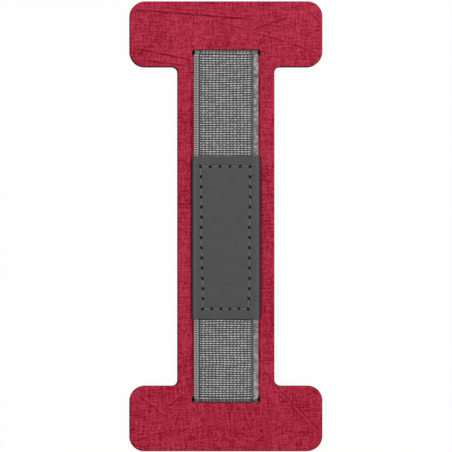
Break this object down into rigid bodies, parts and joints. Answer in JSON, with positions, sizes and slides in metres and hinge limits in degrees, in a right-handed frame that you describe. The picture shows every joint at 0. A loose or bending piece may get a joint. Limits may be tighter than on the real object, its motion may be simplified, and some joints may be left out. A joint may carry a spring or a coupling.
{
  "type": "e-reader hand strap",
  "caption": "Stiff I-shaped back plate with a woven elastic band through two slots and a stitched leather grip sleeve for the hand",
  "frame": {"origin": "middle of the back face of the plate, on the surface that the strap lies on", "axes": "+Z out of the face of the plate, +Y along the plate towards its upper end, +X across it"},
  "size_m": [0.0642, 0.15, 0.005],
  "materials": {
    "backing": "black microfibre lining, brushed and matt",
    "board": "dark pressed fibre board, cut edges dull",
    "cover": "crimson coated leather with a fine linen grain and crossing creases, low sheen",
    "elastic": "grey woven elastic, ribbed across, with lighter looped selvages",
    "grip_leather": "dark grey smooth coated leather, matt",
    "thread": "grey twisted polyester sewing thread"
  },
  "bodies": {
    "root": {"backing_sheet": "backing", "stiffener_board": "board", "cover_panel": "cover", "elastic_band": "elastic", "grip_sleeve": "grip_leather", "needle_thread": "thread", "bobbin_thread": "thread"}
  },
  "joints": []
}
